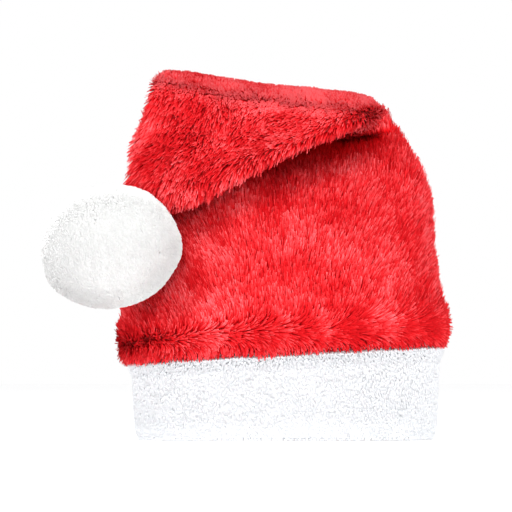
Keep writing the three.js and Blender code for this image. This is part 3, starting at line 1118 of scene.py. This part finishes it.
class HAT_OT_crown_pile(bpy.types.Operator):
    """The red pile in three stretches: the crown's front, its back, and the folded tail"""

    bl_idname = "hat.crown_pile"
    bl_label = "Crown pile"

    def execute(self, context):
        sizes = context.scene.hat_pile
        place, angle, points, rings = crown_grid(-sizes.crown_pile)
        surface = make_piece("crown_surface", points, grid_faces(rings, CROWN_AROUND), ())
        normals = vertex_normals(surface.data)
        outer = np.sin(angle)  # above 0 on the back, the fold's top and the tail's front
        zones = fold_zones(place, points, normals, outer)
        flow = nap(place, angle, points, normals, rings)
        eased = eased_normals(place, normals, rings)
        aim = red_aim(place, points, outer, eased, flow, zones)
        reach = np.linalg.norm(aim, axis=1)
        aim /= reach[:, None]
        long = sizes.crown_pile * reach * red_length(place, points, zones)
        tone = red_tone(place, angle, points, zones)
        set_point_values(surface.data, aim=aim, long=long, tone=tone)
        crowd = red_crowd(place, points, outer, zones)
        bare_tip = 1 - fade(place, TIP_ROW - 1.2, TIP_ROW - 0.6)
        on_fold = fade(place, FOLD_ROW - 0.4, FOLD_ROW + 0.1)
        stretches = {
            "crown_front_pile": (1 - on_fold) * (outer < 0.02),
            "crown_back_pile": (1 - on_fold) * (outer >= 0.02),
            "tail_pile": on_fold * bare_tip,
        }
        material = red_pile_material(context)
        for turn, (name, share) in enumerate(stretches.items()):
            strands = sizes.strands * (BACK_STRANDS if name == "crown_back_pile" else 1)
            settings = pile_settings(context, material, 10 * turn + 1)
            pile = grow_pile(name, surface, share * crowd, strands, settings)
            finish_piece(pile)
        bpy.data.objects.remove(surface)
        return {"FINISHED"}


class HAT_OT_band(bpy.types.Operator):
    """The band: a strip of white plush sewn double, with pile on both faces"""

    bl_idname = "hat.band"
    bl_label = "Band"

    def execute(self, context):
        sizes = context.scene.hat_pile
        rows = len(BAND_CLOTH)
        angles = 2 * math.pi * np.arange(BAND_AROUND) / BAND_AROUND
        inset, angle = np.meshgrid([row[0] for row in BAND_CLOTH], angles, indexing="ij")
        height = np.repeat([row[1] for row in BAND_CLOTH], BAND_AROUND)
        inset, angle = inset.ravel(), angle.ravel()
        row_of = np.repeat(np.arange(rows), BAND_AROUND)
        inset += BAND_CLOTH_WAVE * lumps(band_points(inset, height, angle), 0.02, 17)
        points = band_points(inset, height, angle)
        around = grid_faces(rows, BAND_AROUND)
        last = (rows - 1) * BAND_AROUND + np.arange(BAND_AROUND)
        start = np.arange(BAND_AROUND)
        closing = np.stack([last, np.roll(last, -1), np.roll(start, -1), start], -1)
        backing = backing_material("white backing", *WHITE_BACKING)
        piece = make_piece("band_cloth", points, [*around, *closing], [backing])
        knit_map(piece, angle * STITCHES_A_RADIAN, row_of * BAND_STITCHES_A_ROW)
        finish_piece(piece)
        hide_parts("band")

        surface = pile_surface(piece)
        normals = vertex_normals(surface.data)
        outside = row_of < BAND_CLOTH_OUTER
        flow = tangent(np.tile(-UP, (len(points), 1)), normals)
        lean = BAND_LEAN * (1 + 0.2 * lumps(points, 0.015, 19))
        aim = normals + flow * lean[:, None]
        aim += np.cross(normals, flow) * (1.2 * lumps(points, 0.02, 23))[:, None]
        long = sizes.band_pile * np.linalg.norm(aim, axis=1)
        aim /= np.linalg.norm(aim, axis=1, keepdims=True)
        long = long * (1 - 0.35 * hump(height - 0.004, 0.004))
        tone = 0.5 + 0.25 * lumps(points, 0.02, 29) + 0.1 * lumps(points, 0.006, 31)
        set_point_values(surface.data, aim=aim, long=long, tone=tone)
        under_hem = 1 + UNDER_HEM_THICK * fade(height, 0.028, 0.036)
        inside = BAND_INSIDE_THICK * (1 - fade(height, 0.042, 0.0435))
        crowd = np.where(outside, under_hem, inside)
        white = white_pile_material("white pile", context.scene.hat_colours.white)
        grow_white_pile("band_pile", surface, crowd, white, 41, BAND_TUFT_WIDTH, BAND_TUFTS)
        return {"FINISHED"}


def pompom_centre():
    angles = 2 * math.pi * np.arange(TIP_POINTS) / TIP_POINTS
    tip = crown_points(np.full(TIP_POINTS, float(TIP_ROW)), angles, 0.0, False).mean(0)
    return tip + POMPOM_HANG * POMPOM_HALF


class HAT_OT_pompom(bpy.types.Operator):
    """The pompom: cut yarn round its tied middle, brushed down and forward"""

    bl_idname = "hat.pompom"
    bl_label = "Pompom"

    def execute(self, context):
        sizes = context.scene.hat_pile
        core = 1 - sizes.pompom_pile / POMPOM_HALF.mean()
        rows, columns = POMPOM_RINGS, 2 * POMPOM_RINGS
        rise = np.pi * (np.arange(1, rows) / rows - 0.5)
        turn = 2 * math.pi * np.arange(columns) / columns
        rise, turn = (grid.ravel() for grid in np.meshgrid(rise, turn, indexing="ij"))
        unit = np.stack(
            [np.cos(rise) * np.cos(turn), np.cos(rise) * np.sin(turn), np.sin(rise)], -1
        )
        unit = np.vstack([unit, -UP, UP])
        lumpy = 1 + POMPOM_LUMPS * lumps(unit, 0.55, 37)
        cos, sin = math.cos(POMPOM_TILT), math.sin(POMPOM_TILT)
        tilted = np.array([[cos, 0, -sin], [0, 1, 0], [sin, 0, cos]])
        out = (unit * POMPOM_HALF * lumpy[:, None]) @ tilted.T
        points = pompom_centre() + core * out
        ring = np.arange(columns)
        faces = [
            *grid_faces(rows - 1, columns),
            *fan(ring, len(points) - 2)[:, ::-1],
            *fan((rows - 2) * columns + ring, len(points) - 1),
        ]
        backing = backing_material("yarn middle", *YARN_BACKING)
        piece = make_piece("pompom_core", points, faces, [backing])
        knit_map(piece, unit[:, 0] * YARN_STITCHES, unit[:, 2] * YARN_STITCHES)
        finish_piece(piece)
        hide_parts("pompom")

        surface = pile_surface(piece)
        reach = np.linalg.norm(out, axis=1)
        radial = out / reach[:, None]
        sweep = np.array(POMPOM_SWEEP) / np.linalg.norm(POMPOM_SWEEP)
        swept = sweep - (radial @ sweep)[:, None] * radial
        aim = radial + POMPOM_LEAN * swept
        long = POMPOM_LENGTH * reach * (1 - core) * np.linalg.norm(aim, axis=1)
        tone = 0.5 + 0.25 * lumps(points, 0.016, 43)
        set_point_values(surface.data, aim=aim, long=long, tone=tone)
        crowd = 1 + POLE_THICK * hump(1 + radial @ sweep, 0.12)
        yarn = white_pile_material("white yarn", context.scene.hat_colours.yarn)
        grow_white_pile("pompom_pile", surface, crowd, yarn, 53, POMPOM_TUFT_WIDTH, POMPOM_TUFTS)
        return {"FINISHED"}


def aimed_object(name, data, place):
    """A light or camera that looks at the middle of the hat."""
    held = bpy.data.objects.new(name, data)
    held.location = place
    aim = Vector(CAMERA_TARGET) - Vector(place)
    held.rotation_euler = aim.to_track_quat("-Z", "Y").to_euler()
    bpy.context.scene.collection.objects.link(held)
    return held


class HAT_OT_stage(bpy.types.Operator):
    """A pale floor, soft studio lights and the camera"""

    bl_idname = "hat.stage"
    bl_label = "Stage"

    def execute(self, context):
        scene = context.scene
        turns = ((-1, -1), (1, -1), (1, 1), (-1, 1))
        corners = [(x * FLOOR_HALF, y * FLOOR_HALF, 0) for x, y in turns]
        material, _, shader = new_material("pale floor")
        shader.inputs["Base Color"].default_value = FLOOR_COLOUR
        shader.inputs["Roughness"].default_value = 0.9
        shader.inputs["Emission Color"].default_value = (1, 1, 1, 1)
        shader.inputs["Emission Strength"].default_value = FLOOR_GLOW
        floor = make_piece("floor", corners, [(0, 1, 2, 3)], [material])
        floor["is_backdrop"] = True

        world = bpy.data.worlds.new("soft white room")
        world.use_nodes = True
        scene.world = world
        backdrop = world.node_tree.nodes["Background"]
        backdrop.inputs["Color"].default_value = (1, 1, 1, 1)
        room = Nodes(world.node_tree)
        seen = room.add("ShaderNodeLightPath", (), (), "Is Camera Ray")
        room.feed(backdrop.inputs["Strength"], ROOM_LIGHT + (1 - ROOM_LIGHT) * seen)

        for name, place, size, power in LIGHTS:
            light = bpy.data.lights.new(name, "AREA")
            light.size = size
            light.energy = power
            aimed_object(name, light, place)
        camera = bpy.data.cameras.new("camera")
        camera.lens = CAMERA_LENS
        camera.clip_start = 0.01
        camera.clip_end = 50
        scene.camera = aimed_object("camera", camera, CAMERA_PLACE)
        scene.view_settings.view_transform = "Standard"
        return {"FINISHED"}


OPERATORS = (
    HAT_OT_stage,
    HAT_OT_crown_cloth,
    HAT_OT_crown_pile,
    HAT_OT_band,
    HAT_OT_pompom,
)


class HAT_PT_sidebar(bpy.types.Panel):
    """Makes each piece of the hat"""

    bl_idname = "HAT_PT_sidebar"
    bl_label = "Santa Hat"
    bl_space_type = "VIEW_3D"
    bl_region_type = "UI"
    bl_category = "Santa Hat"

    def draw(self, context):
        for operator in OPERATORS:
            self.layout.operator(operator.bl_idname)
        for group in (context.scene.hat_pile, context.scene.hat_colours):
            for name in group.bl_rna.properties.keys():
                if name not in ("name", "rna_type"):
                    self.layout.prop(group, name)


CLASSES = (PileSizes, HatColours, *OPERATORS, HAT_PT_sidebar)


def register():
    for item in CLASSES:
        bpy.utils.register_class(item)
    bpy.types.Scene.hat_pile = PointerProperty(type=PileSizes)
    bpy.types.Scene.hat_colours = PointerProperty(type=HatColours)


def unregister():
    del bpy.types.Scene.hat_colours
    del bpy.types.Scene.hat_pile
    for item in reversed(CLASSES):
        bpy.utils.unregister_class(item)


def main():
    register()
    bpy.ops.hat.stage()
    bpy.ops.hat.crown_cloth()
    bpy.ops.hat.crown_pile()
    bpy.ops.hat.band()
    bpy.ops.hat.pompom()
    strand = bpy.data.objects["strand"]
    bpy.data.objects.remove(strand)
    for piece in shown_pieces():
        print(piece.name, sum(len(face.vertices) - 2 for face in piece.data.polygons))


if __name__ == "__main__":
    main()
